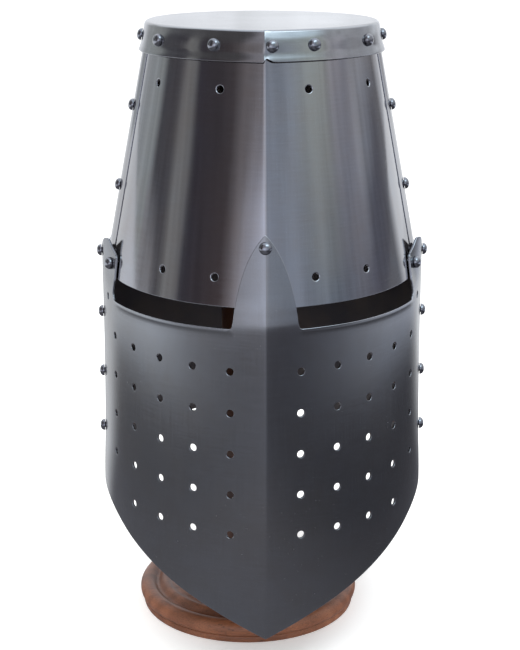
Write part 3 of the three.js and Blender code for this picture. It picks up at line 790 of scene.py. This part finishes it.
for i, turn in enumerate(BAND_TURNS, 1):
    rivet(f"band_rivet_{i}", band_face, turn, CROWN - BAND_HEIGHT / 2)
rivet("nasal_rivet", face_face, 0, SIGHT_LOW + NASAL_HEIGHT - NASAL_RIVET_DROP)
for side, sign in (("left", -1), ("right", 1)):
    rivet(f"skull_rivet_{side}_upper", skull_back_face, sign * SEAM_TURN, CROWN - SEAM_UPPER * SKULL_HEIGHT)
    rivet(f"skull_rivet_{side}_lower", skull_back_face, sign * SEAM_TURN, CROWN - SEAM_LOWER * SKULL_HEIGHT)
    rivet(f"ear_rivet_{side}", face_face, sign * EAR_RIVET_TURN, BROW + EAR_RIVET_RISE)
    rivet(f"side_rivet_{side}_1", face_face, sign * SIDE_TURN, BROW + SIDE_TOP_RISE)
    for i, share in enumerate(SIDE_SHARES, 2):
        rivet(f"side_rivet_{side}_{i}", face_face, sign * SIDE_TURN, SIGHT_LOW + (HEM - SIGHT_LOW) * share)
for i, turn in enumerate(NAPE_TURNS, 1):
    rivet(f"nape_rivet_{i}", nape_face, turn, BROW + NAPE_RIVET_RISE)


# Stand: profiles of (radius, height)
def arc(centre, radius, start, end, count):
    angles = np.radians(np.linspace(start, end, count))
    return [(centre[0] + radius * math.cos(a), centre[1] + radius * math.sin(a)) for a in angles]


def stand_piece(name, node, profile, count, wood):
    points, faces = lathe(profile, count)
    points[:, 0] += STAND_X
    points[:, 1] += FRONT_SHIFT
    add_piece(name, node, points, faces, None, [wood], [0] * len(faces))


base = [(0, 0), (40, 0), (75.4, 0), (76.1, 0.3), (76.3, 1.0), (76.3, 3.9), (75.9, 4.5), (75.3, 4.9)]
base += [(75.2, 5.1)]
base += arc((72.6, 9.5), 6.0, -42, 128, 16)
base += [(67.6, 12.7), (66.7, 12.2), (65.7, 12.3), (64.4, 13.2), (63.2, 14.6), (61.8, 15.8), (60.4, 16.35)]
base += [(59.2, 16.2), (58, 15.6), (56.9, 15.0), (55.8, 14.9), (54, 15.3), (50, 16.9), (45, 19.2)]
base += [(40, 21.4), (35, 23.2), (30, 24.8), (26.4, 25.9), (25.4, 26.5), (24.8, 27.0), (12, 27), (0, 27)]
stand_piece("stand_base_turned", "stand_base", base, 128, WOOD)

post = [(0, 27.3), (21.4, 27.3), (22.2, 27.8), (22.5, 28.8), (22.5, 34.2), (22.1, 35.4), (21.2, 36.2)]
post += [(20.2, 36.6), (20.2, 37.2), (20.0, 37.8), (19.0, 39.0), (18.2, 40.6), (17.9, 43), (17.9, 120)]
post += [(17.9, 250), (17.9, 383), (18.3, 388), (19.6, 390.8), (21.4, 391.8), (22.3, 392.6), (22.3, 395.2)]
post += [(21.8, 395.9), (0, 395.9)]
# The post and its head use the darker wood copy, which carries painted shade
stand_piece("stand_post_turned", "stand_post", post, 64, POST_WOOD_UNFINISHED_AND_SHADED)

head = [(0, 396.2), (46, 396.2), (48.4, 396.5), (50.6, 397.7), (52.6, 399.6), (53.8, 402), (54, 405)]
head += [(54, 409.4), (53.4, 411.6), (52, 413.3), (50, 414.1), (48, 414.2), (0, 414.2)]
stand_piece("stand_head_turned", "stand_head", head, 96, POST_WOOD_UNFINISHED_AND_SHADED)


# Stage: pale floor, soft lights, and surroundings that only polished steel sees
def stage_sheet(name, reach, height, material):
    corners = [(x * reach, y * reach, height) for x, y in ((-1, -1), (1, -1), (1, 1), (-1, 1))]
    mesh = bpy.data.meshes.new(name)
    mesh.from_pydata(corners, [], [(0, 1, 2, 3)])
    mesh.materials.append(material)
    sheet = bpy.data.objects.new(name, mesh)
    bpy.context.scene.collection.objects.link(sheet)
    return sheet


def pale_floor():
    material, n = new_material("floor_pale")
    place = n.add("ShaderNodeTexCoord").outputs["Object"]
    tone = n.spread(n.noise(place, 3, 2, 0.5), 0.3, 0.7, 0.93, 0.96)
    n.surface(n.add("ShaderNodeBsdfPrincipled", {
        "Base Color": n.grey(tone), "Roughness": 0.9, "Specular IOR Level": 0.1,
        "Emission Color": (1, 1, 1, 1), "Emission Strength": 0.28}))
    material.cycles.emission_sampling = "NONE"
    floor = stage_sheet("floor", 14, 0, material)
    floor.visible_glossy = False


def ground_card():
    """What the steel sees below the horizon: dark ground near the helm, paler on both sides and behind."""
    material, n = new_material("ground_card")
    place = n.add("ShaderNodeTexCoord").outputs["Object"]
    parts = n.add("ShaderNodeSeparateXYZ", {"Vector": place}).outputs
    x, y = parts[0], parts[1]
    far = n.math("SQRT", n.plus(n.times(x, x), n.times(y, y)))
    ratio = n.math("DIVIDE", y, n.math("MAXIMUM", n.math("ABSOLUTE", x), 0.01))
    colour = n.ramp(n.spread(x, -0.75, 0.45), [
        (0.0, (0.15, 0.15, 0.165)), (0.22, (0.15, 0.15, 0.165)), (0.5, (0.21, 0.21, 0.235)),
        (0.66, (0.19, 0.19, 0.215)), (0.85, (0.10, 0.10, 0.115)), (0.95, (0.078, 0.078, 0.09))],
        smooth=False)
    colour = n.mix(n.spread(far, 0.8, 1.15), colour, (1.38, 1.38, 1.43), "MULTIPLY")
    colour = n.mix(n.spread(n.math("SUBTRACT", far, x), 1.6, 3.6), colour, (0.62, 0.64, 0.72))
    left = n.times(n.spread(far, 0.71, 0.96), n.times(n.spread(y, -0.80, -0.02), n.spread(x, -0.1, -0.5)))
    colour = n.mix(left, colour, (0.94, 0.98, 1.05))
    right = n.times(n.spread(far, 0.72, 1.0), n.times(n.spread(y, -0.9, 0.2), n.spread(x, 0.3, 0.7)))
    colour = n.mix(right, colour, (0.80, 0.85, 0.98))
    behind_left = n.times(n.spread(ratio, 0.6, 1.05), n.spread(x, 0.05, -0.05))
    colour = n.mix(behind_left, colour, (0.80, 0.82, 0.85))
    behind_right = n.times(n.spread(ratio, 0.8, 1.5), n.spread(x, 0.0, 0.05))
    colour = n.mix(n.times(n.spread(y, 0.25, 0.62), behind_right), colour, (0.95, 0.97, 1.0))
    far_right = n.times(n.spread(far, 1.5, 2.6), n.spread(x, 0.3, 0.7))
    colour = n.mix(n.times(far_right, n.spread(y, -1.0, 0.0)), colour, (0.22, 0.225, 0.25))
    colour = n.mix(n.times(far_right, n.spread(ratio, 0.7, 0.95)), colour, (0.95, 0.97, 1.0))
    n.surface(n.add("ShaderNodeEmission", {"Color": colour, "Strength": 1.0}))
    material.cycles.emission_sampling = "NONE"
    card = stage_sheet("ground_card", 9, -0.004, material)
    card.visible_camera = card.visible_diffuse = card.visible_shadow = card.visible_transmission = False


def soft_light(name, place, target, size, power, colour):
    data = bpy.data.lights.new(name, "AREA")
    data.shape = "SQUARE"
    data.size = size
    data.energy = power
    data.color = colour
    light = bpy.data.objects.new(name, data)
    bpy.context.scene.collection.objects.link(light)
    light.location = place
    light.rotation_euler = (Vector(target) - Vector(place)).to_track_quat("-Z", "Y").to_euler()
    light.visible_glossy = False
    light.visible_camera = False


# Colours that the steel sees round the helm, by degrees from the front: low down, higher up and above
LOW_SKY = [
    (-180, (1.05, 1.08, 1.14)), (-158, (0.85, 0.87, 0.92)), (-146, (0.48, 0.50, 0.52)),
    (-116, (0.44, 0.47, 0.47)), (-108, (0.11, 0.11, 0.125)), (-92, (0.115, 0.11, 0.12)),
    (-85, (0.34, 0.335, 0.33)), (-76, (0.32, 0.31, 0.305)), (-71, (0.075, 0.07, 0.085)),
    (-46, (0.085, 0.065, 0.066)), (-41, (0.30, 0.27, 0.29)), (-36, (0.68, 0.66, 0.72)),
    (-20, (0.80, 0.81, 0.88)), (18, (0.60, 0.62, 0.70)), (26, (0.42, 0.45, 0.53)),
    (36, (0.38, 0.42, 0.51)), (58, (0.22, 0.25, 0.31)), (72, (0.23, 0.25, 0.30)),
    (86, (0.24, 0.25, 0.30)), (100, (0.16, 0.165, 0.21)), (118, (0.15, 0.15, 0.18)),
    (134, (0.26, 0.26, 0.28)), (146, (0.62, 0.64, 0.68)), (162, (0.95, 0.98, 1.05)),
    (180, (1.05, 1.08, 1.14))]
HIGH_SKY = [
    (-180, (0.96, 0.99, 1.03)), (-158, (0.91, 0.93, 0.96)), (-146, (0.52, 0.54, 0.56)),
    (-112, (0.44, 0.46, 0.46)), (-104, (0.10, 0.10, 0.115)), (-86, (0.09, 0.085, 0.10)),
    (-80, (0.30, 0.295, 0.29)), (-72, (0.26, 0.26, 0.26)), (-67, (0.065, 0.06, 0.075)),
    (-45, (0.085, 0.072, 0.076)), (-39, (0.28, 0.25, 0.255)), (-26, (0.33, 0.31, 0.33)),
    (-16, (0.70, 0.70, 0.76)), (18, (0.60, 0.62, 0.70)), (26, (0.36, 0.40, 0.48)),
    (44, (0.38, 0.42, 0.48)), (54, (0.54, 0.58, 0.56)), (64, (0.57, 0.60, 0.57)),
    (74, (0.54, 0.53, 0.57)), (88, (0.58, 0.58, 0.64)), (100, (0.50, 0.51, 0.55)),
    (112, (0.50, 0.52, 0.57)), (126, (0.66, 0.69, 0.74)), (145, (0.84, 0.88, 0.94)),
    (162, (0.84, 0.87, 0.91)), (180, (0.90, 0.93, 0.97))]
SKY_ABOVE = [
    (-180, (1.25, 1.31, 1.38)), (-140, (1.0, 1.04, 1.1)), (-100, (0.16, 0.16, 0.17)),
    (-45, (0.10, 0.095, 0.10)), (-38, (0.42, 0.40, 0.44)), (-4, (0.36, 0.36, 0.40)),
    (10, (0.40, 0.45, 0.50)), (24, (0.42, 0.48, 0.54)), (46, (0.50, 0.57, 0.60)),
    (60, (0.55, 0.61, 0.60)), (76, (0.5, 0.52, 0.55)), (130, (1.0, 1.04, 1.1)), (180, (1.25, 1.31, 1.38))]


def surroundings():
    """Even white light for the floor and the wood; broad light and dark areas for polished steel."""
    world = bpy.data.worlds.new("studio")
    bpy.context.scene.world = world
    world.use_nodes = True
    world.cycles.sampling_method = "NONE"
    n = Nodes(world.node_tree)
    way = n.add("ShaderNodeTexCoord").outputs["Generated"]
    x, y, z = n.add("ShaderNodeSeparateXYZ", {"Vector": way}).outputs
    azimuth = n.math("ARCTAN2", x, n.times(y, -1.0))
    height = n.times(n.math("ARCSINE", z), 180 / math.pi)
    share = n.spread(azimuth, -math.pi, math.pi)

    def round_about(stops, smooth):
        return n.ramp(share, [((turn + 180) / 360, colour) for turn, colour in stops], smooth)

    def from_turn(start, end):
        return n.spread(azimuth, math.radians(start), math.radians(end))

    low, high = round_about(LOW_SKY, smooth=False), round_about(HIGH_SKY, smooth=False)
    above = round_about(SKY_ABOVE, smooth=True)
    rear_right = n.times(from_turn(76, 98), n.spread(height, 2.5, 7.5))
    seen = n.mix(n.math("MAXIMUM", n.spread(height, 7, 17), rear_right), low, high)
    rear_left = n.times(from_turn(-92, -100), n.spread(height, 4.4, 1.6))
    seen = n.mix(rear_left, seen, (0.38, 0.38, 0.40), "LIGHTEN")
    front = n.times(from_turn(-38, -20), from_turn(8, -2))
    seen = n.mix(n.times(front, n.spread(height, 20, 15.5)), seen, (1.0, 1.05, 1.24))
    seen = n.mix(n.spread(height, 21, 34), seen, above)
    seen = n.mix(n.spread(height, 52, 70), seen, (0.85, 0.90, 1.0))
    right = n.times(from_turn(0, 12), from_turn(88, 58))
    seen = n.mix(n.times(right, n.spread(height, 33, 40)), seen, (1.1, 1.34, 1.52))
    brightest = n.times(n.spread(height, 42, 48), n.spread(height, 68, 60))
    seen = n.mix(n.times(right, brightest), seen, (2.3, 2.7, 2.95))
    streaks = n.noise(n.stretched(way, (9, 9, 1.2)), 1.6, 3, 0.55)
    seen = n.mix(0.5, seen, n.grey(n.spread(streaks, 0.3, 0.7, 0.55, 1.45)), "MULTIPLY")
    glossy = n.add("ShaderNodeLightPath").outputs["Is Glossy Ray"]
    back = n.add("ShaderNodeBackground", {"Color": n.mix(glossy, (1.0, 1.0, 1.0), seen), "Strength": 1.0})
    n.add("ShaderNodeOutputWorld", {"Surface": back.outputs[0]})


pale_floor()
ground_card()
surroundings()
soft_light("soft_top", (-0.5, -0.2, 1.9), (0, 0, 0.2), 1.6, 22, (1.0, 0.99, 0.97))
soft_light("soft_right", (0.75, -0.85, 1.85), (0, 0, 0.25), 0.6, 16, (0.93, 0.97, 1.0))

bpy.context.scene.view_settings.view_transform = "Standard"
